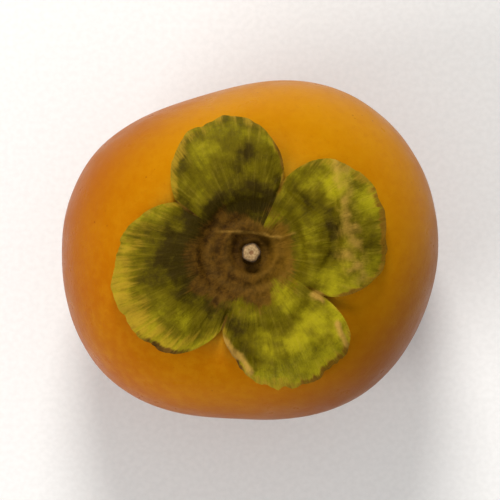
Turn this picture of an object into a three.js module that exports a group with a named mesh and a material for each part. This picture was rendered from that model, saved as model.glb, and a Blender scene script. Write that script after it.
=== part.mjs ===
// A sweet persimmon, picked and whole, standing on its blossom end with the calyx up.
// Three pieces: the squat fruit, the woody calyx with its four broad lobes, and the clipped stalk.
// Millimetres, +Z up. Directions are degrees anticlockwise from +X, seen from above.
import * as THREE from "three";

// Fruit
const FRUIT_RADIUS = 37.7; // mean, at the widest level
const FRUIT_HEIGHT = 57; // to the crest of the shoulder
const WIDEST_LEVEL = 27.5;
const REST_RADIUS = 9.5; // the flat spot it stands on
const APEX_RADIUS = 4; // small hollow round the dried style
const APEX_DEPTH = 0.9;
const STYLE_RADIUS = 0.9;
const CREST_RADIUS = 17.5; // where the shoulder is highest
const HOLLOW_DEPTH = 4.5; // of the hollow that seats the calyx
const FLANK_FULLNESS = 2.1; // 2 is an ellipse, more is squarer
const FRUIT_COLUMNS = 72;
const FLANK_STEPS = 12;
const HOLLOW_STEPS = 6;
// Waves of the outline: crests round the fruit, height as a share of the radius, direction of one crest
const OUTLINE_WAVES = [
  [2, 0.061, 12.6],
  [3, 0.016, -60],
  [4, 0.018, -41],
  [5, 0.01, 7],
];
// Uneven shoulder: crests round the fruit, height in mm, direction of one crest
const SHOULDER_WAVES = [
  [1, 0.7, 75],
  [2, 0.4, 160],
  [4, 0.35, 15],
];

// Calyx
const SEAT_GAP = 0.35; // between the pieces
const LOBE_THICKNESS = 1;
const DISC_LEVEL = 55.8; // upper face of the disc
const DISC_RADIUS = 9.8;
const DISC_STEPS = 6;
const PIT_DEPTH = 1.3; // round the stalk
const PIT_FLOOR_RADIUS = 3.3;
const PIT_RADIUS = 4.9;
const SOCKET_RADIUS = 2.3; // the stalk's foot sits in it
const SOCKET_WALL = 0.3; // run of its sloping wall
const SOCKET_FLOOR = 0.6; // thickness left under the socket
const DISC_RIDGES = [
  { radius: 5.5, height: 0.5, width: 0.9 },
  { radius: 8.4, height: 0.3, width: 0.9 },
];
const BOWL_START = 8.6; // the disc passes into the lobes between these radii
const BOWL_END = 11.4;
const RIM = { radius: 12.8, height: 0.9, width: 2.2 }; // where the lobes bend outwards
const LOBE_COLUMNS = 28;
const LOBE_ROWS = 14;
const COLUMN_CROWDING = 0.35; // towards the cuts
// Ripple of the margin: waves across a lobe, height in mm, start
const MARGIN_WAVES = [
  [3, 0.3, 20],
  [5, 0.2, 50],
];
const MARGIN_SHIFT = 70; // of the ripple from one lobe to the next
const FOLD_FADES = 0.55; // shares of a lobe's half width between which its fold runs out
const FOLD_ENDS = 0.9;

// The cuts between the lobes, and the lobes, each lying between its own cut and the next.
// squareness: of the outline towards the cut before and the cut after.
// rim: how much higher the rim is in the lobe's middle than at the cuts.
// fold: a straight raised fold across the lobe, with the run of its inner and its outer slope.
// curl: where the margin turns up.
// sides: how far the two edges along the cuts stand up. pleats: ripples that fan out to the margin.
const CUTS = [
  { toward: -31, reach: 17 },
  { toward: 66, reach: 16 },
  { toward: 146, reach: 18.3 },
  { toward: 249, reach: 16.6 },
];
const LOBES = [
  {
    toward: 20,
    reach: 28.2,
    squareness: [3, 2.8],
    rim: 0.9,
    fold: { toward: 6.5, distance: 19.4, height: 2.6, runs: [1.5, 3.4] },
    curl: { toward: 8, spread: 26, height: 2.4 },
    sides: [0.8, 0.5],
    pleats: { count: 1.5, height: 0.2 },
  },
  {
    toward: 106,
    reach: 28.4,
    squareness: [2.2, 1.9],
    rim: 0,
    fold: { toward: 106, distance: 22, height: 0.5, runs: [4, 4] },
    curl: { toward: 132, spread: 16, height: 0.5 },
    sides: [0.3, 0.5],
    pleats: { count: 1.5, height: 0.2 },
  },
  {
    toward: 199,
    reach: 29.2,
    squareness: [1.8, 3],
    rim: 0,
    fold: { toward: 190, distance: 16.5, height: 0.7, runs: [3, 4] },
    curl: { toward: 224, spread: 24, height: 1.4 },
    sides: [0.4, 0.6],
    pleats: { count: 3, height: 0.45 },
  },
  {
    toward: 282,
    reach: 28.8,
    squareness: [1.2, 7],
    rim: 0.4,
    fold: { toward: 295, distance: 22.5, height: 1.8, runs: [3, 2.6] },
    curl: { toward: 308, spread: 20, height: 2.4 },
    sides: [1.4, 0.2],
    pleats: { count: 2.5, height: 0.3 },
  },
];

// Clipped stalk
const STALK_RADIUS = 1.9;
const STALK_TOP = 58;
const STALK_RIBS = 5;
const RIB_HEIGHT = 0.05; // as a share of the radius
const CUT_RADIUS = 1.65;
const CUT_BEVEL = 0.35;
const CUT_DISH = 0.2; // the pith has sunk by this much
const CUT_SLOPE = 0.12; // the cut face is not quite level
const CUT_SLOPE_TOWARD = 120;
const STALK_COLUMNS = 20;

const FULL_TURN = 360;
const { degToRad, smoothstep, lerp } = THREE.MathUtils;
const bump = (x, width) => Math.exp(-((x / width) ** 2));

// Sum of waves round the axis, at a direction in degrees
function waves(list, toward) {
  return list.reduce(
    (sum, [count, height, crest]) => sum + height * Math.cos(degToRad(count * (toward - crest))),
    0,
  );
}

const outline = (toward) => 1 + waves(OUTLINE_WAVES, toward);

function onAxis(toward, radius, height) {
  const angle = degToRad(toward);
  return [radius * Math.cos(angle), radius * Math.sin(angle), height];
}

// The share of the shoulder at a radius: 0 at the widest level, 1 at the crest, falling to 0 at the middle
function shoulderShare(plainRadius) {
  if (plainRadius < CREST_RADIUS) return smoothstep(plainRadius, 0, CREST_RADIUS);
  const outwards = (plainRadius - CREST_RADIUS) / (FRUIT_RADIUS - CREST_RADIUS);
  return (1 - Math.min(outwards, 1) ** FLANK_FULLNESS) ** (1 / FLANK_FULLNESS);
}

// The fruit's upper face before the waves
function plainLevel(plainRadius) {
  if (plainRadius >= CREST_RADIUS)
    return lerp(WIDEST_LEVEL, FRUIT_HEIGHT, shoulderShare(plainRadius));
  const dip = (1 + Math.cos((Math.PI * plainRadius) / CREST_RADIUS)) / 2;
  return FRUIT_HEIGHT - HOLLOW_DEPTH * dip;
}

// The fruit's upper face as it stands, at a direction and a distance from the stalk
function fruitLevel(toward, radius) {
  const plainRadius = radius / outline(toward);
  return plainLevel(plainRadius) + shoulderShare(plainRadius) * waves(SHOULDER_WAVES, toward);
}

// The fruit: its half section turned about the axis, then pressed into the squarish outline
function fruitGeometry() {
  const power = 2 / FLANK_FULLNESS;
  const quarterTurn = (step) => ((step / FLANK_STEPS) * Math.PI) / 2;
  const section = [
    new THREE.Vector2(0, APEX_DEPTH / 2),
    new THREE.Vector2(STYLE_RADIUS, APEX_DEPTH),
    new THREE.Vector2((STYLE_RADIUS + APEX_RADIUS) / 2, APEX_DEPTH / 2),
    new THREE.Vector2(APEX_RADIUS, 0),
  ];
  for (let i = 0; i <= FLANK_STEPS; i++) {
    const radius = lerp(REST_RADIUS, FRUIT_RADIUS, Math.sin(quarterTurn(i)) ** power);
    const level = WIDEST_LEVEL * (1 - Math.cos(quarterTurn(i)) ** power);
    section.push(new THREE.Vector2(radius, level));
  }
  const lowerPoints = section.length;
  for (let i = 1; i <= FLANK_STEPS; i++) {
    const radius = lerp(CREST_RADIUS, FRUIT_RADIUS, Math.cos(quarterTurn(i)) ** power);
    section.push(new THREE.Vector2(radius, plainLevel(radius)));
  }
  for (let i = 1; i <= HOLLOW_STEPS; i++) {
    const radius = CREST_RADIUS * (1 - i / HOLLOW_STEPS);
    section.push(new THREE.Vector2(radius, plainLevel(radius)));
  }

  const geometry = new THREE.LatheGeometry(section, FRUIT_COLUMNS);
  const position = geometry.getAttribute("position");
  for (let i = 0; i < position.count; i++) {
    const column = Math.floor(i / section.length) % FRUIT_COLUMNS;
    const row = i % section.length;
    const toward = (column / FRUIT_COLUMNS) * FULL_TURN;
    const { x: plainRadius, y: level } = section[row];
    const unevenness = shoulderShare(plainRadius) * waves(SHOULDER_WAVES, toward);
    const height = row < lowerPoints ? level : level + unevenness;
    position.setXYZ(i, ...onAxis(toward, plainRadius * outline(toward), height));
  }
  return geometry;
}

// The calyx's columns all round: each with its lobe, its direction, how far the margin reaches there,
// and its place across the lobe, from -1 at the cut before to 1 at the cut after
function calyxColumns() {
  const columns = [];
  LOBES.forEach((lobe, i) => {
    const before = CUTS[i];
    const next = CUTS[(i + 1) % CUTS.length];
    const after = {
      reach: next.reach,
      toward: next.toward < lobe.toward ? next.toward + FULL_TURN : next.toward,
    };
    for (let j = 0; j < LOBE_COLUMNS; j++) {
      const even = (2 * j) / LOBE_COLUMNS - 1;
      const across = even * (1 + COLUMN_CROWDING * (1 - even ** 2));
      const cut = across < 0 ? before : after;
      const squareness = lobe.squareness[across < 0 ? 0 : 1];
      const full = (1 - Math.abs(across) ** squareness) ** 0.9;
      const ripple = waves(MARGIN_WAVES, (across * FULL_TURN) / 2 + i * MARGIN_SHIFT);
      columns.push({
        lobe,
        across,
        toward: lerp(lobe.toward, cut.toward, Math.abs(across)),
        reach: lerp(cut.reach, lobe.reach, full) + ripple * (1 - across ** 2),
      });
    }
  });
  return columns;
}

// Upper face of the disc: flat, with a pit round the stalk and low ridges round the pit
function discLevel(radius) {
  const ridges = DISC_RIDGES.reduce(
    (sum, ridge) => sum + ridge.height * bump(radius - ridge.radius, ridge.width),
    0,
  );
  const pit = 1 - smoothstep(radius, PIT_FLOOR_RADIUS, PIT_RADIUS);
  return DISC_LEVEL + ridges - PIT_DEPTH * pit;
}

// Upper face of a lobe: it bends over the rim, lies along the shoulder and curls up at the margin
function lobeLevel({ lobe, across, toward, reach }, radius) {
  const { rim, fold, curl, pleats, sides } = lobe;
  const out = Math.max(0, radius - DISC_RADIUS) / (lobe.reach - DISC_RADIUS);
  const toMargin = Math.max(0, radius - DISC_RADIUS) / (reach - DISC_RADIUS);
  const side = sides[across < 0 ? 0 : 1] * Math.abs(across) ** 6;
  const middle = 1 - across ** 4;
  const foldShare = 1 - smoothstep(Math.abs(across), FOLD_FADES, FOLD_ENDS);
  const pastFold = radius * Math.cos(degToRad(toward - fold.toward)) - fold.distance;
  const lift =
    SEAT_GAP +
    LOBE_THICKNESS +
    (RIM.height + rim * middle) * bump(radius - RIM.radius, RIM.width) +
    fold.height * bump(pastFold, fold.runs[pastFold < 0 ? 0 : 1]) * foldShare +
    curl.height * bump(toward - curl.toward, curl.spread) * toMargin ** 4 * out +
    side * out +
    pleats.height * out ** 2 * (1 + Math.cos(2 * Math.PI * pleats.count * across));
  return fruitLevel(toward, radius) + lift;
}

// Even rows from the disc to the margin, but the row nearest to the crest of a fold runs along it
function lobeRadius({ lobe, toward, reach }, outwards) {
  const even = lerp(DISC_RADIUS, reach, outwards);
  const crest = lobe.fold.distance / Math.cos(degToRad(toward - lobe.fold.toward));
  const isNearest = Math.abs(crest - even) < (reach - DISC_RADIUS) / LOBE_ROWS / 2;
  return isNearest && outwards < 1 ? crest : even;
}

// One closed plate over a round grid: upper and lower faces split alike, walled along the margin
function calyxGeometry() {
  const columns = calyxColumns();
  const discRadii = [SOCKET_RADIUS, SOCKET_RADIUS + SOCKET_WALL];
  for (let i = 0; i <= DISC_STEPS; i++)
    discRadii.push(lerp(PIT_FLOOR_RADIUS, DISC_RADIUS, i / DISC_STEPS));
  const rows = discRadii.length + LOBE_ROWS;
  const seatMiddle = fruitLevel(0, 0) + SEAT_GAP;
  const socketLevel = seatMiddle + SOCKET_FLOOR;

  const upper = [0, 0, socketLevel];
  const lower = [0, 0, seatMiddle];
  for (const column of columns) {
    for (let row = 0; row < rows; row++) {
      const outwards = (row - discRadii.length + 1) / LOBE_ROWS;
      const radius = outwards > 0 ? lobeRadius(column, outwards) : discRadii[row];
      const blend = smoothstep(radius, BOWL_START, BOWL_END);
      const open = lerp(discLevel(radius), lobeLevel(column, radius), blend);
      const top = row === 0 ? socketLevel : open;
      const seat = fruitLevel(column.toward, radius) + SEAT_GAP;
      const bottom = lerp(seat, Math.max(seat, top - LOBE_THICKNESS), blend);
      upper.push(...onAxis(column.toward, radius, top));
      lower.push(...onAxis(column.toward, radius, bottom));
    }
  }

  const faces = [];
  const lowerStart = upper.length / 3;
  const at = (column, row) => 1 + (column % columns.length) * rows + row;
  function bothFaces(a, b, c) {
    faces.push(a, b, c);
    faces.push(lowerStart + a, lowerStart + c, lowerStart + b);
  }
  for (let i = 0; i < columns.length; i++) {
    bothFaces(0, at(i, 0), at(i + 1, 0));
    // The quads are split along the fold, which runs outwards on either side of its nearest point
    const { lobe, toward } = columns[i];
    const afterFold = toward >= lobe.fold.toward;
    for (let row = 0; row < rows - 1; row++) {
      bothFaces(at(i, row), at(i, row + 1), at(i + 1, afterFold ? row + 1 : row));
      bothFaces(at(i, afterFold ? row : row + 1), at(i + 1, row + 1), at(i + 1, row));
    }
    const here = at(i, rows - 1);
    const next = at(i + 1, rows - 1);
    faces.push(here, lowerStart + here, lowerStart + next);
    faces.push(here, lowerStart + next, next);
  }
  const geometry = new THREE.BufferGeometry();
  const corners = new THREE.Float32BufferAttribute([...upper, ...lower], 3);
  geometry.setAttribute("position", corners);
  geometry.setIndex(faces);
  geometry.computeVertexNormals();
  return geometry;
}

// The stalk: a short ribbed stub whose foot sits in the disc's socket, with a slanting, dished cut
function stalkGeometry() {
  const foot = fruitLevel(0, 0) + SEAT_GAP + SOCKET_FLOOR + SEAT_GAP;
  const pitFloor = DISC_LEVEL - PIT_DEPTH;
  const section = [
    new THREE.Vector2(0, foot),
    new THREE.Vector2(STALK_RADIUS, foot),
    new THREE.Vector2(STALK_RADIUS, pitFloor),
    new THREE.Vector2((STALK_RADIUS + CUT_RADIUS) / 2, (pitFloor + STALK_TOP) / 2),
    new THREE.Vector2(CUT_RADIUS, STALK_TOP - CUT_BEVEL),
    new THREE.Vector2(CUT_RADIUS - CUT_BEVEL, STALK_TOP),
    new THREE.Vector2(CUT_RADIUS / 2, STALK_TOP - CUT_DISH / 2),
    new THREE.Vector2(0, STALK_TOP - CUT_DISH),
  ];
  const footPoints = 2;
  const sidePoints = 4;
  const geometry = new THREE.LatheGeometry(section, STALK_COLUMNS);
  const position = geometry.getAttribute("position");
  for (let i = 0; i < position.count; i++) {
    const column = Math.floor(i / section.length) % STALK_COLUMNS;
    const row = i % section.length;
    const toward = (column / STALK_COLUMNS) * FULL_TURN;
    const { x: radius, y: level } = section[row];
    const rib = row < footPoints ? 1 : 1 + RIB_HEIGHT * Math.cos(degToRad(STALK_RIBS * toward));
    const slope = row < sidePoints ? 0 : CUT_SLOPE;
    const slant = slope * radius * Math.cos(degToRad(toward - CUT_SLOPE_TOWARD));
    position.setXYZ(i, ...onAxis(toward, radius * rib, level + slant));
  }
  return geometry;
}

function piece(name, geometry, colour, roughness) {
  const material = new THREE.MeshStandardMaterial({ color: colour, roughness, metalness: 0 });
  const mesh = new THREE.Mesh(geometry, material);
  mesh.name = name;
  return mesh;
}

const persimmon = new THREE.Group();
persimmon.add(piece("fruit", fruitGeometry(), 0xd98a12, 0.42));
persimmon.add(piece("calyx", calyxGeometry(), 0x6e6a18, 0.75));
persimmon.add(piece("stem_stub", stalkGeometry(), 0xb4916a, 0.85));

// The middle of the outline stands over the origin, so the stalk is a little off it
const middle = new THREE.Box3().setFromObject(persimmon).getCenter(new THREE.Vector3());
persimmon.position.set(-middle.x, -middle.y, 0);

export default persimmon;
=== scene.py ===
"""A sweet persimmon, picked and whole, standing on its blossom end with its calyx up."""

import math

import bpy
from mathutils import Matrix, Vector, noise


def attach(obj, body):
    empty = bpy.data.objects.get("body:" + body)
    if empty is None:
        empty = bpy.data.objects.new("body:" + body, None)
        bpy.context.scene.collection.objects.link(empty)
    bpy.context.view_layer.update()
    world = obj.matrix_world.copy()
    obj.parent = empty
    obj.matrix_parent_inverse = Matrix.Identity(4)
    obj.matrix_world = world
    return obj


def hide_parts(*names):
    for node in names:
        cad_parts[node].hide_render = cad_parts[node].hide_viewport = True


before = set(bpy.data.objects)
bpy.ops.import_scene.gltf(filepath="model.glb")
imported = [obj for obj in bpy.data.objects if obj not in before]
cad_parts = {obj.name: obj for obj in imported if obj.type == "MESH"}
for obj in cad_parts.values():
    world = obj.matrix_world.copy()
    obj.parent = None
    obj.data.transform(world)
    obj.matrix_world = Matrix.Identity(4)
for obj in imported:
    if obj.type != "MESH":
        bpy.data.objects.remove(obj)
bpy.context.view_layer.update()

# The persimmon itself: one grown berry, squat, with a squarish outline and a shoulder that sinks into a
# hollow under the calyx. Its skin is tight, thin and waxy, amber on the shoulder and orange round the sides,
# where painted shade darkens it at the front right, on the left and low down. It stands on a flat ring
# round the small dried style at the blossom end.
MM = 0.001
STALK_AT = Vector((0.27, -0.53, 0))
FRUIT_RADIUS = 37.7
FRUIT_HEIGHT = 57
WIDEST_LEVEL = 27.5
REST_RADIUS = 9.5
APEX_RADIUS = 4
APEX_DEPTH = 0.9
STYLE_RADIUS = 0.8
STYLE_LENGTH = 0.75
CREST_RADIUS = 17.5
HOLLOW_DEPTH = 4.5
FLANK_FULLNESS = 2.1
FRUIT_SEGMENTS = 192
FRUIT_RINGS = 128
APEX_SHARE = 0.1
REST_SHARE = 0.17
FLANK_SHARE = 0.62
OUTLINE_WAVES = ((2, 0.061, 12.6), (3, 0.016, -60), (4, 0.018, -41), (5, 0.01, 7))
SHOULDER_WAVES = ((1, 0.7, 75), (2, 0.4, 160), (4, 0.35, 15))
SKIN_SWELLS = 0.12
SKIN_SWELL_SIZE = 9
SKIN_SWELL_LEVELS = (1.5, 12)
SKIN_SWELL_FADE = 8


def clamp(value, low=0.0, high=1.0):
    return max(low, min(high, value))


def lerp(start, end, share):
    return start + (end - start) * share


def smoothstep(value, start, end):
    share = clamp((value - start) / (end - start))
    return share * share * (3 - 2 * share)


def bump(value, width):
    return math.exp(-((value / width) ** 2))


def waves(crests, toward):
    return sum(height * math.cos(math.radians(count * (toward - crest))) for count, height, crest in crests)


def outline(toward):
    return 1 + waves(OUTLINE_WAVES, toward)


def shoulder_share(plain_radius):
    if plain_radius < CREST_RADIUS:
        return smoothstep(plain_radius, 0, CREST_RADIUS)
    outwards = clamp((plain_radius - CREST_RADIUS) / (FRUIT_RADIUS - CREST_RADIUS))
    return (1 - outwards**FLANK_FULLNESS) ** (1 / FLANK_FULLNESS)


def plain_level(plain_radius):
    if plain_radius >= CREST_RADIUS:
        return lerp(WIDEST_LEVEL, FRUIT_HEIGHT, shoulder_share(plain_radius))
    dip = (1 + math.cos(math.pi * plain_radius / CREST_RADIUS)) / 2
    return FRUIT_HEIGHT - HOLLOW_DEPTH * dip


def shoulder_level(toward, plain_radius):
    return plain_level(plain_radius) + shoulder_share(plain_radius) * waves(SHOULDER_WAVES, toward)


def fruit_level(toward, radius):
    return shoulder_level(toward, radius / outline(toward))


def lower_section(share):
    """Radius and level of the lower half's section, from the blossom end out to the widest level."""
    power = 2 / FLANK_FULLNESS
    if share < APEX_SHARE:
        radius = APEX_RADIUS * share / APEX_SHARE
        hollow = APEX_DEPTH * (1 + math.cos(math.pi * radius / APEX_RADIUS)) / 2
        return radius, hollow - STYLE_LENGTH * bump(radius, STYLE_RADIUS)
    if share < REST_SHARE:
        return lerp(APEX_RADIUS, REST_RADIUS, (share - APEX_SHARE) / (REST_SHARE - APEX_SHARE)), 0
    turn = (share - REST_SHARE) / (1 - REST_SHARE) * math.pi / 2
    radius = lerp(REST_RADIUS, FRUIT_RADIUS, math.sin(turn) ** power)
    return radius, WIDEST_LEVEL * (1 - max(math.cos(turn), 0) ** power)


def upper_radius(share):
    """Radius of the upper half's section, from the widest level to the middle of the hollow."""
    if share < FLANK_SHARE:
        turn = share / FLANK_SHARE * math.pi / 2
        return lerp(CREST_RADIUS, FRUIT_RADIUS, math.cos(turn) ** (2 / FLANK_FULLNESS))
    return CREST_RADIUS * (1 - share) / (1 - FLANK_SHARE)


def on_axis(toward, radius, level):
    angle = math.radians(toward)
    return STALK_AT + Vector((radius * math.cos(angle), radius * math.sin(angle), level))


def deselect_all():
    if bpy.context.object and bpy.context.object.mode == "EDIT":
        bpy.ops.object.mode_set(mode="OBJECT")
    bpy.ops.object.select_all(action="DESELECT")


def added(name):
    """The piece that a primitive operator has just made, named, with its place put into its mesh."""
    made = bpy.context.object
    made.name = name
    made.data.name = name
    bpy.ops.object.transform_apply(location=True, rotation=True, scale=True)
    return made


def model_fruit():
    deselect_all()
    bpy.ops.mesh.primitive_uv_sphere_add(
        segments=FRUIT_SEGMENTS,
        ring_count=FRUIT_RINGS,
        radius=FRUIT_RADIUS * MM,
        location=(0, 0, 0),
    )
    fruit = added("persimmon_fruit")
    for vertex in fruit.data.vertices:
        place = vertex.co
        toward = math.degrees(math.atan2(place.y, place.x))
        latitude = math.atan2(place.z, math.hypot(place.x, place.y)) / (math.pi / 2)
        if latitude < 0:
            plain_radius, level = lower_section(1 + latitude)
        else:
            plain_radius = upper_radius(latitude)
            level = shoulder_level(toward, plain_radius)
        radius = plain_radius * outline(toward)
        flank = smoothstep(level, *SKIN_SWELL_LEVELS)
        flank *= smoothstep(plain_radius, CREST_RADIUS, CREST_RADIUS + SKIN_SWELL_FADE)
        swell = noise.noise(on_axis(toward, radius, level) / SKIN_SWELL_SIZE)
        radius -= SKIN_SWELLS * flank * (1 + swell)
        vertex.co = on_axis(toward, radius, level) * MM
    bpy.ops.object.shade_smooth()
    return fruit


def linear(colour):
    """An sRGB hex colour as linear red, green, blue and alpha."""
    shares = [int(colour[i : i + 2], 16) / 255 for i in (1, 3, 5)]
    return [s / 12.92 if s <= 0.04045 else ((s + 0.055) / 1.055) ** 2.4 for s in shares] + [1]


def add(tree, kind, inputs=(), **settings):
    """Adds a shader node with its settings, and gives each named input its value or its link."""
    made = tree.nodes.new("ShaderNode" + kind)
    for name, value in settings.items():
        setattr(made, name, value)
    for name, value in dict(inputs).items():
        if isinstance(value, bpy.types.NodeSocket):
            tree.links.new(value, made.inputs[name])
        else:
            made.inputs[name].default_value = value
    return made


def new_material(name):
    made = bpy.data.materials.new(name)
    made.use_nodes = True
    made.node_tree.nodes.clear()
    return made


def ramp(tree, share, start, end, low=0.0, high=1.0):
    """A share between two values, turned to 0 to 1 or to another range."""
    inputs = {"Value": share, "From Min": start, "From Max": end, "To Min": low, "To Max": high}
    return add(tree, "MapRange", inputs, interpolation_type="SMOOTHSTEP").outputs[0]


def mix(tree, share, first, second):
    """Two colours mixed; each is a hex colour or the output of a node."""
    inputs = {0: share}
    for socket, colour in ((6, first), (7, second)):
        inputs[socket] = linear(colour) if isinstance(colour, str) else colour
    return add(tree, "Mix", inputs, data_type="RGBA").outputs[2]


def multiply(tree, first, second):
    return add(tree, "Math", {0: first, 1: second}, operation="MULTIPLY").outputs[0]


def plus(tree, first, second):
    return add(tree, "Math", {0: first, 1: second}, operation="ADD").outputs[0]


def place_from_axis(tree):
    """The place on the piece, measured from the stalk's axis and the resting level."""
    place = add(tree, "TexCoord").outputs["Object"]
    return add(tree, "Mapping", {"Vector": place, "Location": -STALK_AT * MM}).outputs[0]


def scaled(tree, place, scale):
    return add(tree, "Mapping", {"Vector": place, "Scale": scale}).outputs[0]


def flattened(tree, place):
    return add(tree, "VectorMath", {0: place, 1: (1, 1, 0)}, operation="MULTIPLY").outputs[0]


def axis_distance(tree, place):
    return add(tree, "VectorMath", {0: flattened(tree, place)}, operation="LENGTH").outputs["Value"]


def distance_along(tree, place, direction):
    """How far a place lies in a direction, times the direction's length."""
    return add(tree, "VectorMath", {0: place, 1: direction}, operation="DOT_PRODUCT").outputs["Value"]


def spots(tree, place, size_mm, detail=2.0, roughness=0.5):
    """Soft noise, its spots about as wide as asked."""
    inputs = {"Vector": place, "Scale": 1 / (size_mm * MM), "Detail": detail, "Roughness": roughness}
    return add(tree, "TexNoise", inputs).outputs["Fac"]


def waxy_persimmon_skin():
    """Ripe persimmon skin, smooth and satin under its wax: amber at the back of the shoulder, orange
    elsewhere with painted shade darkening it at the front right, on the left and low down, with faint
    mottling, fine lengthwise streaks, a few rusty specks and a brown ring at the style."""
    material = new_material("waxy_persimmon_skin")
    tree = material.node_tree
    centred = place_from_axis(tree)
    height = add(tree, "SeparateXYZ", {0: centred}).outputs["Z"]

    amber_side = ramp(tree, distance_along(tree, centred, (8, 20, 14)), -0.7, 1.6)
    wide = ramp(tree, spots(tree, centred, 24, 3), 0.3, 0.7, -0.22, 0.22)
    base = mix(tree, plus(tree, amber_side, wide), "#A85802", "#C07E05")
    fine = ramp(tree, spots(tree, centred, 2.2, 4, 0.6), 0.35, 0.7, 0, 0.22)
    mottled = mix(tree, fine, base, "#CC9012")
    lengthwise = scaled(tree, centred, (1, 1, 0.12))
    streaks = ramp(tree, spots(tree, lengthwise, 1.3, 3, 0.6), 0.5, 0.75, 0, 0.16)
    streaked = mix(tree, streaks, mottled, "#A05206")
    # painted shade: the orange is darkened towards the front right
    shade_front_right = ramp(tree, distance_along(tree, centred, (16, -22, -10)), -0.1, 0.8, 0, 0.75)
    shaded_front_right = mix(tree, shade_front_right, streaked, "#7C3F04")
    # painted shade: the orange is darkened on the left
    shade_left_side = ramp(tree, distance_along(tree, centred, (-20, 11, -6)), 0.1, 0.6, 0, 0.62)
    shaded_left_side = mix(tree, shade_left_side, shaded_front_right, "#964602")
    # painted shade: the orange is darkened low down on the flanks
    shaded_low = mix(tree, ramp(tree, height, 0.014, 0.05, 0.8, 0), shaded_left_side, "#8E4203")

    cells = add(tree, "TexVoronoi", {"Vector": centred, "Scale": 1 / (2.4 * MM), "Randomness": 1.0})
    near = ramp(tree, cells.outputs["Distance"], 0.05, 0.11, 1, 0)
    patches = ramp(tree, spots(tree, centred, 11, 1), 0.5, 0.62)
    specks = multiply(tree, multiply(tree, near, patches), 0.65)
    speckled = mix(tree, specks, shaded_low, "#7A3208")

    from_axis = axis_distance(tree, centred)
    low = ramp(tree, height, 0.0025, 0.004, 1, 0)
    rusty = multiply(tree, low, ramp(tree, from_axis, 0.0012, 0.0034, 1, 0))
    ringed = mix(tree, rusty, speckled, "#5A3212")
    dry_style = multiply(tree, low, ramp(tree, from_axis, 0.0007, 0.0012, 1, 0))
    styled = mix(tree, dry_style, ringed, "#1E130C")
    under_calyx = multiply(tree, ramp(tree, from_axis, 0.017, 0.024, 1, 0), ramp(tree, height, 0.045, 0.05))
    colour = mix(tree, multiply(tree, under_calyx, 0.35), styled, "#B99A2C")

    wax = spots(tree, centred, 5, 4, 0.6)
    grain = plus(tree, spots(tree, centred, 0.55, 3, 0.6), multiply(tree, wax, 1.6))
    relief = add(tree, "Bump", {"Strength": 0.16, "Distance": 0.0004, "Height": grain}).outputs[0]
    shader = add(
        tree,
        "BsdfPrincipled",
        {
            "Base Color": colour,
            "Roughness": ramp(tree, wax, 0.3, 0.7, 0.27, 0.38),
            "IOR": 1.35,
            "Normal": relief,
            "Specular IOR Level": 0.045,
            "Specular Tint": linear("#FFC880"),
            "Subsurface Weight": 0.06,
            "Subsurface Radius": (1.0, 0.35, 0.06),
            "Subsurface Scale": 0.0035,
        },
    )
    add(tree, "OutputMaterial", {"Surface": shader.outputs[0]})
    return material


def dress(piece, material, node):
    piece.data.materials.clear()
    piece.data.materials.append(material)
    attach(piece, "root")
    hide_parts(node)


dress(model_fruit(), waxy_persimmon_skin(), "fruit")

# The calyx: the dried flower cup that stays on the fruit. One grown piece, a woody brown disc round the
# stalk with four broad leathery lobes that bend over the disc's rim and lie on the shoulder. Each lobe
# is green with fine veins, pale tan on a fold where it is rubbed and carries a painted highlight, and dry
# at the margin, which is wavy and curls in places and has a painted shadow line along parts of its edge.
# Painted shade darkens the creases and the pit round the stalk, and painted light lightens the disc's right
# side.
SEAT_GAP = 0.35
LOBE_THICKNESS = 1
LEAF_THICKNESS = 0.8
MARGIN_THICKNESS = 0.35
MARGIN_TAPER = 5
MARGIN_BEVEL = 0.1
DISC_LEVEL = 55.8
DISC_RADIUS = 9.8
PIT_DEPTH = 1.3
PIT_FLOOR_RADIUS = 3.3
PIT_RADIUS = 4.9
SOCKET_RADIUS = 2.3
DISC_RIDGES = ((5.5, 0.5, 0.9), (8.4, 0.3, 0.9))
RIDGE_BREAKS = 1.1
RIDGE_BREAK_SIZE = 0.6
RIDGE_WANDER = 0.7
RING_SCALE = 1 / (2 * math.pi * 0.55 * MM) / 3.2
BOWL_START = 8.6
BOWL_END = 11.4
RIM_RADIUS = 12.8
RIM_HEIGHT = 0.9
RIM_WIDTH = 2.2
COLUMNS_PER_LOBE = 108
DISC_ROWS = 28
LOBE_ROWS = 58
COLUMN_CROWDING = 0.35
MARGIN_WAVES = ((3, 0.3, 20), (5, 0.2, 50))
MARGIN_SHIFT = 70
MARGIN_ROUNDNESS = 0.9
RAGGED_SIZE = 5
FOLD_FADES = 0.55
FOLD_ENDS = 0.9
VEINS_ACROSS = 4.5
VEIN_HEIGHT = 0.13
VEIN_SHARPNESS = 10
VEIN_WOBBLE = 0.35
LEAF_SWELLS = 0.16
LUMP_SIZE = 4.5
SMALL_LUMPS = 0.25
SMALL_LUMP_SIZE = 1.6
WOOD_HEIGHT = 0.3
WOOD_SIZE = 2.2
CUT_CREASE_DEPTH = 0.8
CUT_CREASE_WIDTH = 0.5
CUT_CREASE_START = 11.5
CUT_CREASE_FULL = 14.5
CREASE_DEPTH = 0.9
CREASE_WIDTH = 0.85
ROLL_HEIGHT = 0.7
ROLL_WIDTH = 0.8
DISC_LINE_HEIGHT = 0.3
DISC_LINE_WIDTH = 0.38
LINE_WANDER = 0.35
LINE_WANDER_SIZE = 3
LINE_WANDER_SEED = 7
LINE_UNEVENNESS = 0.6
LINE_UNEVEN_SIZE = 1.8
DRY_MIDDLE = Vector((-2.2, -1.4, 0))
DRY_RADII = (7, 13.4)
DRY_UNEVENNESS = 2.8
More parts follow.
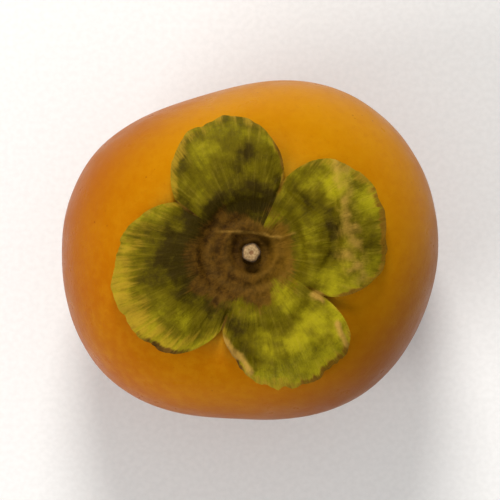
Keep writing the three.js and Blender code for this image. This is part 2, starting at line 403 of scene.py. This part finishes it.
# Run of the dark margin edges: a dry edge with a painted shadow line along it.
DRY_AND_SHADOW_EDGE_RUN = (0.4, 1.8)
TONE_MOTTLING = 0.3
CREASE_SHADE = 0.24
RIND_UNEVENNESS = 1.5
CREST_BAND_SHIFT = 1.1
CREST_BAND_WANDER = 1.4
CREST_BAND_WIDTH = 2.3
CREST_WEAR_AND_HIGHLIGHT = 0.55
CUTS = ((-31, 17), (66, 16), (146, 18.3), (249, 16.6))
CREASES = (
    ((6.3, 15.2), (9.2, 12), (12.2, 9.4), (15.4, 8), (17, 5), (17.1, 1.6), (16, -2)),
    ((-4.6, -12.8), (-3.4, -15.6), (-1.4, -18.6), (0.8, -22)),
    ((-14.6, 10.4), (-12.4, 8.8)),
    ((2, 9.6), (-2.5, 9.4), (-6.4, 6.8)),
)
ROLLS = (
    ((-6.3, -17), (-3.2, -20.6), (0, -24.4)),
    # the raised edge by the slit: its pale colour is a painted highlight
    ((13, -8.6), (14.6, -9.8)),
    ((17.6, -14.6), (18.8, -17.2), (19.2, -18.8)),
)
# a low ridge across the disc above the stalk, painted pale as a highlight
DISC_PALE_LINES = (((-6.8, 4.1), (-3.5, 4.4), (0.5, 4.1), (4, 3.3), (6.6, 3.2), (8.8, 3.9)),)
PATCHES = (
    (-13.5, 0.5, 6.5, -0.28),
    (-18, 8, 3.5, 0.3),
    (-16, -11, 4, 0.25),
    (-1.5, 20.5, 2.5, -0.3),
    (-8, 16.5, 3, 0.08),
    (-6, 24, 4, 0.05),
    (12.5, 5, 3, 0.05),
    # painted shade in the valley before the right lobe's fold
    (15.8, 5, 2.4, -0.2),
    (17, 13.5, 3, 0.5),
    (18, -7, 3.5, 0.35),
    (24, 10.5, 3, 0.4),
    (24.8, 1, 3, -0.1),
    (2, -21, 4, 0.25),
    (9, -18.5, 4, 0.3),
    (14, -14.5, 3.5, 0.3),
    (7, -15, 2.2, -0.25),
    (-3, -15.5, 2.5, -0.15),
)


class Lobe:
    """One lobe: where it points, how far it reaches and how it is folded, curled and pleated."""

    def __init__(
        self, toward, reach, squareness, ragged, rim, fold, curl, sides, pleats, lumps, tones, rind, dry_and_shadow_edges
    ):
        self.toward = toward
        self.reach = reach
        self.squareness = squareness
        self.ragged = ragged
        self.rim = rim
        self.fold = fold
        self.curl = curl
        self.sides = sides
        self.pleats = pleats
        self.lumps = lumps
        self.tones = tones
        self.rind = rind
        self.dry_and_shadow_edges = dry_and_shadow_edges


LOBES = (
    Lobe(
        toward=20,
        reach=28.2,
        squareness=(3, 2.8),
        ragged=0.4,
        rim=0.9,
        fold=(6.5, 19.4, 2.6, 1.5, 3.4),
        curl=(8, 26, 2.4),
        sides=(0.8, 0.5),
        pleats=(1.5, 0.2),
        lumps=0.5,
        tones=(0.48, 0.46, 0.54, 0),
        rind=(38, 16, 2.5),
        dry_and_shadow_edges=((8, 24), (-22, 8)),
    ),
    Lobe(
        toward=106,
        reach=28.4,
        squareness=(2.2, 1.9),
        ragged=0.35,
        rim=0,
        fold=(106, 22, 0.5, 4, 4),
        curl=(132, 16, 0.5),
        sides=(0.3, 0.5),
        pleats=(1.5, 0.2),
        lumps=0.4,
        tones=(0.02, 0.36, 0.48, 0.06),
        rind=(134, 22, 3),
        dry_and_shadow_edges=((74, 8),),
    ),
    Lobe(
        toward=199,
        reach=29.2,
        squareness=(1.8, 3),
        ragged=0.5,
        rim=0,
        fold=(190, 16.5, 0.7, 3, 4),
        curl=(224, 24, 1.4),
        sides=(0.4, 0.6),
        pleats=(3, 0.45),
        lumps=0.45,
        tones=(0.14, 0.24, 0.7, 0.1),
        rind=(204, 44, 8),
        dry_and_shadow_edges=((228, 14),),
    ),
    Lobe(
        toward=282,
        reach=28.8,
        squareness=(1.2, 7),
        ragged=0.8,
        rim=0.4,
        fold=(295, 22.5, 1.8, 3, 2.6),
        curl=(308, 20, 2.4),
        sides=(1.4, 0.2),
        pleats=(2.5, 0.3),
        lumps=0.9,
        tones=(0.5, 0.44, 0.7, 0.13),
        rind=(276, 14, 2.6),
        dry_and_shadow_edges=((303, 20), (261, 9)),
    ),
)


class Column:
    """One column of the calyx, from the stalk out to the margin."""

    def __init__(self, index):
        number, step = divmod(index, COLUMNS_PER_LOBE)
        self.number = number
        self.lobe = LOBES[number]
        even = 2 * step / COLUMNS_PER_LOBE - 1
        self.across = even * (1 + COLUMN_CROWDING * (1 - even**2))
        side = 0 if self.across < 0 else 1
        cut_toward, cut_reach = CUTS[(number + side) % len(CUTS)]
        if side and cut_toward < self.lobe.toward:
            cut_toward += 360
        self.toward = lerp(self.lobe.toward, cut_toward, abs(self.across))
        full = (1 - abs(self.across) ** self.lobe.squareness[side]) ** MARGIN_ROUNDNESS
        ripple = waves(MARGIN_WAVES, self.across * 180 + number * MARGIN_SHIFT)
        ripple += self.lobe.ragged * noise.fractal(Vector((self.toward / RAGGED_SIZE, number, 0)), 0.8, 2, 4)
        self.reach = lerp(cut_reach, self.lobe.reach, full) + ripple * (1 - self.across**2)
        self.side_lift = self.lobe.sides[side] * abs(self.across) ** 6
        self.from_cut = abs(cut_toward - self.toward)


def disc_level(toward, radius):
    ridges = 0.0
    for middle, height, width in DISC_RIDGES:
        heading = on_axis(toward, 1, middle)
        broken = 1 + RIDGE_BREAKS * noise.noise(heading / RIDGE_BREAK_SIZE)
        wander = RIDGE_WANDER * noise.noise(heading)
        ridges += height * broken * bump(radius - middle - wander, width)
    return DISC_LEVEL + ridges - PIT_DEPTH * (1 - smoothstep(radius, PIT_FLOOR_RADIUS, PIT_RADIUS))


def past_fold(column, radius):
    toward, distance, _, _, _ = column.lobe.fold
    return radius * math.cos(math.radians(column.toward - toward)) - distance


def fold_share(column):
    """The fold fades out towards the cuts on either side."""
    return 1 - smoothstep(abs(column.across), FOLD_FADES, FOLD_ENDS)


def lobe_level(column, radius):
    lobe = column.lobe
    out = max(0, radius - DISC_RADIUS) / (lobe.reach - DISC_RADIUS)
    to_margin = max(0, radius - DISC_RADIUS) / (column.reach - DISC_RADIUS)
    _, _, fold_height, inner_run, outer_run = lobe.fold
    past = past_fold(column, radius)
    curl_toward, curl_spread, curl_height = lobe.curl
    pleat_count, pleat_height = lobe.pleats
    lift = SEAT_GAP + LOBE_THICKNESS
    lift += (RIM_HEIGHT + lobe.rim * (1 - column.across**4)) * bump(radius - RIM_RADIUS, RIM_WIDTH)
    lift += fold_height * bump(past, inner_run if past < 0 else outer_run) * fold_share(column)
    lift += curl_height * bump(column.toward - curl_toward, curl_spread) * to_margin**4 * out
    lift += column.side_lift * out
    lift += pleat_height * out**2 * (1 + math.cos(2 * math.pi * pleat_count * column.across))
    return fruit_level(column.toward, radius) + lift


def cut_crease(column, radius):
    """The crease that runs a little way inwards from each cut: cut into the relief, and darkened with
    painted shade.
    """
    from_cut = math.radians(column.from_cut) * radius
    return bump(from_cut, CUT_CREASE_WIDTH) * smoothstep(radius, CUT_CREASE_START, CUT_CREASE_FULL)


def from_stalk(column, radius):
    return (on_axis(column.toward, radius, 0) - STALK_AT).to_2d()


def nearness(lines, column, radius, width):
    """How near a spot on the calyx is to the nearest of some drawn lines: 1 on a line, 0 away from it."""
    spot = from_stalk(column, radius)
    place = Vector((spot.x, spot.y, 0))
    spot += LINE_WANDER * noise.noise_vector(place / LINE_WANDER_SIZE).to_2d()
    width *= 1 + LINE_UNEVENNESS * noise.noise(place / LINE_UNEVEN_SIZE)
    nearest = 0.0
    for line in lines:
        for start, end in zip(line, line[1:]):
            start, end = Vector(start), Vector(end)
            along = clamp((spot - start).dot(end - start) / (end - start).length_squared)
            nearest = max(nearest, bump((spot - start.lerp(end, along)).length, width))
    return nearest


def fine_relief(column, radius, out):
    """Veins, wrinkles and lumps that the growing and drying left on the lobes and the disc."""
    place = on_axis(column.toward, radius, 0)
    wobble = VEIN_WOBBLE * noise.noise(Vector((column.toward / 14, radius / 7, column.number)))
    vein = abs(math.cos(math.pi * (VEINS_ACROSS * column.across + wobble))) ** VEIN_SHARPNESS
    relief = VEIN_HEIGHT * vein * smoothstep(out, 0.05, 0.3) * (1 - 0.6 * out)
    swell = noise.noise(Vector((column.toward / 5, radius / 5, 3 + column.number)))
    relief += LEAF_SWELLS * swell * (0.4 + out)
    lumps = noise.noise(place / LUMP_SIZE) + SMALL_LUMPS * noise.noise(place / SMALL_LUMP_SIZE)
    relief += column.lobe.lumps * lumps * smoothstep(out, 0.1, 0.5)
    woody = 1 - smoothstep(out, 0, 0.4)
    relief += WOOD_HEIGHT * noise.fractal(place / WOOD_SIZE, 0.9, 2, 4) * woody
    relief -= CUT_CREASE_DEPTH * cut_crease(column, radius)
    relief -= CREASE_DEPTH * nearness(CREASES, column, radius, CREASE_WIDTH)
    relief += DISC_LINE_HEIGHT * nearness(DISC_PALE_LINES, column, radius, DISC_LINE_WIDTH)
    return relief + ROLL_HEIGHT * nearness(ROLLS, column, radius, ROLL_WIDTH)


def select_rim():
    """Selects the sheet's open edge."""
    bpy.ops.mesh.select_all(action="DESELECT")
    bpy.ops.mesh.select_non_manifold(
        use_wire=False, use_multi_face=False, use_non_contiguous=False, use_verts=False
    )


def lay_out_sheet(name, columns):
    """A round flat sheet, a millimetre thick, with a column for each given and rows a millimetre apart."""
    deselect_all()
    bpy.ops.mesh.primitive_circle_add(
        vertices=len(columns), radius=MM, fill_type="TRIFAN", location=(0, 0, 0)
    )
    sheet = added(name)
    bpy.ops.object.mode_set(mode="EDIT")
    bpy.ops.mesh.select_mode(type="EDGE")
    for row in range(1, DISC_ROWS + LOBE_ROWS):
        select_rim()
        bpy.ops.mesh.extrude_edges_move()
        scale = (row + 1) / row
        bpy.ops.transform.resize(value=(scale, scale, 1), center_override=(0, 0, 0))
    bpy.ops.mesh.select_mode(type="FACE")
    bpy.ops.mesh.select_all(action="SELECT")
    bpy.ops.mesh.extrude_region_move(TRANSFORM_OT_translate={"value": (0, 0, -MM)})
    bpy.ops.mesh.select_all(action="SELECT")
    bpy.ops.mesh.normals_make_consistent(inside=False)
    bpy.ops.object.mode_set(mode="OBJECT")
    return sheet


def leaf_spot(column, row):
    """One spot of the calyx: its distance from the stalk, its level and how thick the leaf is there."""
    if row == 0:
        radius = 0
    elif row <= DISC_ROWS:
        radius = lerp(SOCKET_RADIUS, DISC_RADIUS, (row - 1) / (DISC_ROWS - 1))
    else:
        radius = lerp(DISC_RADIUS, column.reach, (row - DISC_ROWS) / LOBE_ROWS)
    out = max(0, radius - DISC_RADIUS) / (column.lobe.reach - DISC_RADIUS)
    blend = smoothstep(radius, BOWL_START, BOWL_END)
    level = lerp(disc_level(column.toward, radius), lobe_level(column, radius), blend)
    level += fine_relief(column, radius, out)
    socket = SEAT_GAP + LEAF_THICKNESS
    if row <= 1:
        level = fruit_level(0, 0) + socket
    level = max(level, fruit_level(column.toward, radius) + socket)
    full = smoothstep(column.reach - radius, 0, MARGIN_TAPER)
    return radius, level, lerp(MARGIN_THICKNESS, LEAF_THICKNESS, full)


def model_calyx():
    columns = [Column(i) for i in range(len(LOBES) * COLUMNS_PER_LOBE)]
    calyx = lay_out_sheet("persimmon_calyx", columns)
    shades = {"dry": dryness_and_shade, "fresh_and_shaded": tone, "rind": rind_share, "worn_and_highlit": worn_and_highlit_share}
    for name in shades:
        calyx.data.attributes.new(name, "FLOAT", "POINT")
    step = 2 * math.pi / len(columns)
    spots = {}
    margin = {}
    for vertex in calyx.data.vertices:
        row = round(math.hypot(vertex.co.x, vertex.co.y) / MM)
        number = round(math.atan2(vertex.co.y, vertex.co.x) / step) % len(columns)
        column = columns[number]
        if (row, number) not in spots:
            place = leaf_spot(column, row)
            spots[row, number] = place, {name: shade(column, place[0]) for name, shade in shades.items()}
        (radius, level, thickness), shares = spots[row, number]
        is_lower = vertex.co.z < -MM / 2
        if row == DISC_ROWS + LOBE_ROWS:
            margin[vertex.index] = is_lower
        vertex.co = on_axis(column.toward, radius, level - thickness * is_lower) * MM
        for name, share in shares.items():
            calyx.data.attributes[name].data[vertex.index].value = share
    round_margin(calyx, margin)
    return calyx


def round_margin(calyx, margin):
    """Bevels the upper and the lower edge of the margin."""
    bpy.ops.object.mode_set(mode="EDIT")
    bpy.ops.mesh.select_mode(type="EDGE")
    bpy.ops.mesh.select_all(action="DESELECT")
    bpy.ops.object.mode_set(mode="OBJECT")
    for edge in calyx.data.edges:
        first, second = edge.vertices
        edge.select = first in margin and second in margin and margin[first] == margin[second]
    bpy.ops.object.mode_set(mode="EDIT")
    bpy.ops.mesh.bevel(offset=MARGIN_BEVEL * MM, segments=2, affect="EDGES", clamp_overlap=True)
    bpy.ops.object.mode_set(mode="OBJECT")
    bpy.ops.object.shade_smooth()


def dryness_and_shade(column, radius):
    """Where the calyx is painted dark brown: dry on the disc, painted shade in the creases at the cuts, and
    dry edges with a painted shadow line on parts of the margin.
    """
    place = on_axis(column.toward, radius, 0)
    off_middle = (place - STALK_AT - DRY_MIDDLE).length
    disc = 1 - smoothstep(off_middle + DRY_UNEVENNESS * noise.fractal(place / 5, 0.8, 2, 3), *DRY_RADII)
    uneven = 0.5 * noise.noise(place / 1.5)
    # dark margin edges: partly a dry margin, partly a painted shadow line under the lifted margin
    edge = 0.95 * (1 - smoothstep(column.reach - radius + uneven, *DRY_AND_SHADOW_EDGE_RUN))
    edge *= max(bump(column.toward - toward, spread) for toward, spread in column.lobe.dry_and_shadow_edges)
    # the creases at the cuts are darkened with painted shade
    return clamp(max(disc, edge, 0.6 * cut_crease(column, radius)))


def tone(column, radius):
    """How far the green has turned fresher and yellower, from the disc out to the margin, with duskier and
    yellower patches, and painted shade along the creases.
    """
    inner, middle, margin, slope = column.lobe.tones
    out = max(0, radius - DISC_RADIUS) / (column.reach - DISC_RADIUS)
    share = lerp(inner, middle, smoothstep(out, 0, 0.5)) + (margin - middle) * smoothstep(out, 0.5, 1)
    mottling = noise.fractal(on_axis(column.toward, radius, 0) / 6, 0.9, 2, 3)
    share += slope * column.across + TONE_MOTTLING * mottling
    spot = from_stalk(column, radius)
    for x, y, spread, fresher in PATCHES:
        share += fresher * bump((spot - Vector((x, y))).length, spread)
    # painted shade along the creases
    return clamp(share - CREASE_SHADE * nearness(CREASES, column, radius, 2 * CREASE_WIDTH))


def rind_share(column, radius):
    """Where the margin has dried thin and yellow."""
    toward, spread, width = column.lobe.rind
    patch = noise.noise(on_axis(column.toward, radius, 0) / 2.5)
    inwards = column.reach - radius
    run = smoothstep(inwards + RIND_UNEVENNESS * patch, 0.2 * width, width)
    wide = bump(column.toward - toward, spread) * (1 - run)
    narrow = 0.8 * (1 - smoothstep(inwards, 0.2, 3)) * (0.75 + patch)
    return clamp(max(wide, narrow) * smoothstep(radius, 12, 16))


def worn_and_highlit_share(column, radius):
    """Where the leaf is painted pale tan: rubbed on its rolled edges and the tall fold's crest, with painted
    highlight on that crest, on the raised edge by the slit and on the low pale line across the disc.
    """
    crest = 0.0
    if column.number == 0:
        place = on_axis(column.toward, radius, 0)
        past = past_fold(column, radius) - CREST_BAND_SHIFT + CREST_BAND_WANDER * noise.noise(place / 5)
        # the crest's tan is partly rubbed wear, partly painted highlight
        crest = CREST_WEAR_AND_HIGHLIGHT * bump(past, CREST_BAND_WIDTH) * fold_share(column) * (1 + 0.9 * noise.noise(place / 2))
    # painted highlight along the low ridge across the disc
    disc_line = 0.5 * nearness(DISC_PALE_LINES, column, radius, DISC_LINE_WIDTH)
    return clamp(max(crest, disc_line, 1.1 * nearness(ROLLS, column, radius, ROLL_WIDTH)))


def leathery_calyx_leaf():
    """Persimmon calyx leaf, leathery and dull: olive green with fine radial fibres, yellower where it is
    fresher and at the thin margin, dry brown on the disc, with painted light on the disc's right side,
    painted shade in the pit round the stalk and along the creases at the cuts and a painted shadow line on
    parts of the margin, and pale tan on rolled edges and the tall fold, partly rubbed and partly painted
    highlight."""
    material = new_material("leathery_calyx_leaf")
    tree = material.node_tree
    centred = place_from_axis(tree)
    from_axis = axis_distance(tree, centred)
    flat = flattened(tree, centred)
    heading = add(tree, "VectorMath", {0: flat}, operation="NORMALIZE").outputs["Vector"]
    rays = add(tree, "VectorMath", {0: heading, "Scale": 0.02}, operation="SCALE").outputs["Vector"]
    stretched = add(tree, "VectorMath", {0: centred, "Scale": 0.12}, operation="SCALE").outputs["Vector"]
    fanned = add(tree, "VectorMath", {0: rays, 1: stretched}, operation="ADD").outputs["Vector"]

    # this share is dry brown on the disc, plus painted shadow on parts of the margin and painted shade in
    # the cut creases
    dry = add(tree, "Attribute", attribute_name="dry").outputs["Fac"]
    # this share also holds painted shade along the creases and in the valley before the right lobe's fold
    fresh_and_shaded = add(tree, "Attribute", attribute_name="fresh_and_shaded").outputs["Fac"]
    rind = add(tree, "Attribute", attribute_name="rind").outputs["Fac"]
    worn_and_highlit = add(tree, "Attribute", attribute_name="worn_and_highlit").outputs["Fac"]
    fibres = spots(tree, fanned, 0.75, 4, 0.65)
    blotches = spots(tree, centred, 2.6, 5, 0.65)

    patchy = plus(tree, fresh_and_shaded, ramp(tree, blotches, 0.3, 0.7, -0.12, 0.12))
    dusky = mix(tree, ramp(tree, patchy, 0.0, 0.42), "#362A04", "#605303")
    green = mix(tree, ramp(tree, patchy, 0.35, 1.0), dusky, "#A09312")
    paler_where_fresh = ramp(tree, patchy, 0, 0.5, 0.2, 1)
    pale_fibres = multiply(tree, ramp(tree, fibres, 0.48, 0.72, 0, 0.2), paler_where_fresh)
    fibrous = mix(tree, pale_fibres, green, "#A8922E")
    veined = mix(tree, ramp(tree, fibres, 0.28, 0.46, 0.25, 0), fibrous, "#2B2607")
    streaky = plus(tree, rind, ramp(tree, fibres, 0.3, 0.7, -0.3, 0.3))
    rinded = mix(tree, ramp(tree, streaky, 0.2, 1.2, 0, 0.72), veined, "#B08A22")

    rings = add(
        tree,
        "TexWave",
        {"Vector": centred, "Scale": RING_SCALE, "Distortion": 7.0, "Detail": 4.0},
        wave_type="RINGS",
        rings_direction="Z",
    ).outputs["Fac"]
    mottling = ramp(tree, spots(tree, centred, 1.6, 5, 0.65), 0.35, 0.65)
    brown = mix(tree, mottling, "#382307", "#5E3F0F")
    # painted light: the disc's brown is lighter towards the right
    sideways = add(tree, "SeparateXYZ", {0: centred}).outputs["X"]
    brown_lit_right = mix(tree, ramp(tree, sideways, -0.004, 0.011, 0, 0.6), brown, "#85600F")
    ringed = mix(tree, multiply(tree, rings, 0.2), brown_lit_right, "#8A6424")
    frayed = plus(tree, dry, ramp(tree, fibres, 0.3, 0.7, -0.22, 0.22))
    # painted shade: the brown darkens in the pit round the stalk
    pit_shaded = mix(tree, ramp(tree, from_axis, 0.003, 0.0055, 0.2, 0), ringed, "#3A2210")
    # dry brown, with the painted shade and shadow that this share carries
    dried_and_shaded = mix(tree, ramp(tree, frayed, 0.2, 0.85), rinded, pit_shaded)
    worn_and_highlit_patchy = plus(tree, worn_and_highlit, ramp(tree, blotches, 0.3, 0.7, -0.2, 0.2))
    # pale tan: rubbed edges and crest, partly painted highlight
    colour = mix(tree, ramp(tree, worn_and_highlit_patchy, 0.1, 1.1, 0, 0.85), dried_and_shaded, "#B48A3C")

    grain = plus(tree, multiply(tree, fibres, 1.4), spots(tree, centred, 0.5, 3, 0.6))
    relief = add(tree, "Bump", {"Strength": 0.45, "Distance": 0.0005, "Height": grain}).outputs[0]
    shader = add(
        tree,
        "BsdfPrincipled",
        {
            "Base Color": colour,
            "Roughness": ramp(tree, blotches, 0.3, 0.7, 0.5, 0.66),
            "IOR": 1.4,
            "Specular IOR Level": 0.06,
            "Normal": relief,
        },
    )
    add(tree, "OutputMaterial", {"Surface": shader.outputs[0]})
    return material


# Without a seed, noise_vector starts from the clock and the drawn lines wander differently each run.
noise.seed_set(LINE_WANDER_SEED)
dress(model_calyx(), leathery_calyx_leaf(), "calyx")

# The stalk: the short stub left in the disc's socket where the fruit was clipped from its twig. Brown
# ribbed bark outside, pale dry wood on the slanting cut, with a darker pith that has sunk a little.
STALK_RADIUS = 1.9
STALK_TOP = 58
FOOT_LIFT = 1.3
STALK_FOOT = FRUIT_HEIGHT - HOLLOW_DEPTH + FOOT_LIFT
STALK_VERTICES = 60
STALK_RIBS = 5
RIB_HEIGHT = 0.05
CUT_RADIUS = 1.65
CUT_BEVEL = 0.35
CUT_DISH = 0.2
CUT_SLOPE = 0.12
CUT_SLOPE_TOWARD = 120
CUT_INSETS = (CUT_BEVEL, 0.35, 0.35, 0.35, 0.3)
CUT_ROUGHNESS = 0.08
CUT_GRAIN = 0.5
BARK_ROUGHNESS = 0.05
BARK_GRAIN = 0.7
PITH_RADIUS = 0.7


def model_stalk():
    deselect_all()
    length = STALK_TOP - STALK_FOOT
    middle = on_axis(0, 0, (STALK_TOP + STALK_FOOT) / 2) * MM
    bpy.ops.mesh.primitive_cylinder_add(
        vertices=STALK_VERTICES, radius=STALK_RADIUS * MM, depth=length * MM, location=middle
    )
    stalk = added("persimmon_stalk")
    bpy.ops.object.mode_set(mode="EDIT")
    bpy.ops.mesh.select_mode(type="FACE")
    for inset in CUT_INSETS:
        bpy.ops.mesh.select_all(action="DESELECT")
        bpy.ops.object.mode_set(mode="OBJECT")
        ends = [face for face in stalk.data.polygons if len(face.vertices) == STALK_VERTICES]
        for face in ends:
            face.select = True
        bpy.ops.object.mode_set(mode="EDIT")
        bpy.ops.mesh.inset(thickness=inset * MM)
    bpy.ops.mesh.select_all(action="DESELECT")
    bpy.ops.object.mode_set(mode="OBJECT")
    for face in stalk.data.polygons:
        face.select = abs(face.normal.z) < 0.5
    bpy.ops.object.mode_set(mode="EDIT")
    bpy.ops.mesh.subdivide(number_cuts=7, quadcorner="INNERVERT")
    bpy.ops.object.mode_set(mode="OBJECT")
    for vertex in stalk.data.vertices:
        place = vertex.co / MM - STALK_AT
        radius = math.hypot(place.x, place.y)
        toward = math.degrees(math.atan2(place.y, place.x))
        up = clamp((place.z - STALK_FOOT) / length)
        taper = lerp(1, CUT_RADIUS / STALK_RADIUS, smoothstep(up, 0.3, 1))
        rib = 1 + RIB_HEIGHT * math.cos(math.radians(STALK_RIBS * toward)) * smoothstep(up, 0, 0.3)
        rough = 1 + BARK_ROUGHNESS * noise.noise(place / BARK_GRAIN)
        level = place.z
        if place.z > STALK_TOP - 0.01:
            level += CUT_SLOPE * radius * math.cos(math.radians(toward - CUT_SLOPE_TOWARD))
            level -= CUT_DISH * bump(radius, PITH_RADIUS) + CUT_BEVEL * smoothstep(radius, 1.5, 1.95)
            level += CUT_ROUGHNESS * noise.noise(place / CUT_GRAIN)
        vertex.co = on_axis(toward, radius * taper * rib * rough, level) * MM
    bpy.ops.object.shade_smooth_by_angle(angle=math.radians(50))
    return stalk


def clipped_persimmon_wood():
    """Clipped twig wood, dry: brown fibrous bark, a pale beige cut with faint rings, and brown pith."""
    material = new_material("clipped_persimmon_wood")
    tree = material.node_tree
    centred = place_from_axis(tree)
    from_axis = axis_distance(tree, centred)
    height = add(tree, "SeparateXYZ", {0: centred}).outputs["Z"]
    grain = spots(tree, centred, 0.35, 4)
    fibres = spots(tree, scaled(tree, centred, (1, 1, 0.15)), 0.3, 3)
    bark = mix(tree, ramp(tree, fibres, 0.35, 0.65), "#3A2A18", "#6F5532")
    wood = mix(tree, ramp(tree, grain, 0.35, 0.65), "#987647", "#BA9A6A")
    pith = ramp(tree, from_axis, 0.0003, 0.00065, 1, 0)
    cored = mix(tree, multiply(tree, pith, 0.8), wood, "#7A4E22")
    edge = ramp(tree, from_axis, 0.0013, 0.00162, 0, 0.75)
    edged = mix(tree, edge, cored, "#8A6A44")
    on_cut = ramp(tree, height, (STALK_TOP - 0.75) * MM, (STALK_TOP - 0.45) * MM)
    colour = mix(tree, on_cut, bark, edged)
    relief = add(tree, "Bump", {"Strength": 0.4, "Distance": 0.0002, "Height": fibres}).outputs[0]
    inputs = {"Base Color": colour, "Roughness": 0.8, "IOR": 1.5, "Normal": relief}
    shader = add(tree, "BsdfPrincipled", inputs)
    add(tree, "OutputMaterial", {"Surface": shader.outputs[0]})
    return material


dress(model_stalk(), clipped_persimmon_wood(), "stem_stub")

# The studio: a plain pale sheet under the fruit, a soft lamp high up behind it, a wider and weaker one
# from the front left, an even glow from the room, and a camera that looks straight down on the calyx.
FLOOR_SIZE = 6
PAPER_TOOTH = 900
LAMP_COLOUR = "#FFFDFA"
ROOM_COLOUR = "#F4F6F8"
ROOM_STRENGTH = 0.44
CAMERA_LENS = 556
CAMERA_AIM = Vector((0, 0, 0.03))
CAMERA_AWAY = 1.6
CAMERA_ELEVATION = 90


def lay_floor():
    deselect_all()
    bpy.ops.mesh.primitive_plane_add(size=FLOOR_SIZE, location=(0, 0, 0))
    floor = added("studio_floor")
    material = new_material("pale_paper_sweep")
    tree = material.node_tree
    place = add(tree, "TexCoord").outputs["Object"]
    tooth = add(tree, "TexNoise", {"Vector": place, "Scale": PAPER_TOOTH, "Detail": 3.0}).outputs["Fac"]
    colour = mix(tree, ramp(tree, tooth, 0.3, 0.7), "#F1F0EE", "#F6F5F3")
    shader = add(tree, "BsdfPrincipled", {"Base Color": colour, "Roughness": 0.9})
    add(tree, "OutputMaterial", {"Surface": shader.outputs[0]})
    floor.data.materials.append(material)


def hang_lamp(name, place, size, power):
    lamp = bpy.data.lights.new(name, "AREA")
    lamp.shape = "DISK"
    lamp.size = size
    lamp.energy = power
    lamp.color = linear(LAMP_COLOUR)[:3]
    holder = bpy.data.objects.new(name, lamp)
    holder.location = place
    holder.rotation_euler = (-Vector(place)).to_track_quat("-Z", "Y").to_euler()
    bpy.context.scene.collection.objects.link(holder)


def light_studio():
    world = bpy.data.worlds.new("soft_room")
    world.use_nodes = True
    background = world.node_tree.nodes["Background"]
    background.inputs["Color"].default_value = linear(ROOM_COLOUR)
    background.inputs["Strength"].default_value = ROOM_STRENGTH
    bpy.context.scene.world = world
    hang_lamp("key_lamp", place=(-0.1, 1.34, 1.08), size=0.6, power=22)
    hang_lamp("fill_lamp", place=(-1.15, -0.75, 0.9), size=1.2, power=15.5)


def place_camera():
    camera = bpy.data.objects.new("camera", bpy.data.cameras.new("camera"))
    camera.data.lens = CAMERA_LENS
    elevation = math.radians(CAMERA_ELEVATION)
    camera.location = CAMERA_AIM + CAMERA_AWAY * Vector((0, -math.cos(elevation), math.sin(elevation)))
    camera.rotation_euler = (math.pi / 2 - elevation, 0, 0)
    bpy.context.scene.collection.objects.link(camera)
    bpy.context.scene.camera = camera


lay_floor()
light_studio()
place_camera()
bpy.context.scene.view_settings.view_transform = "Standard"
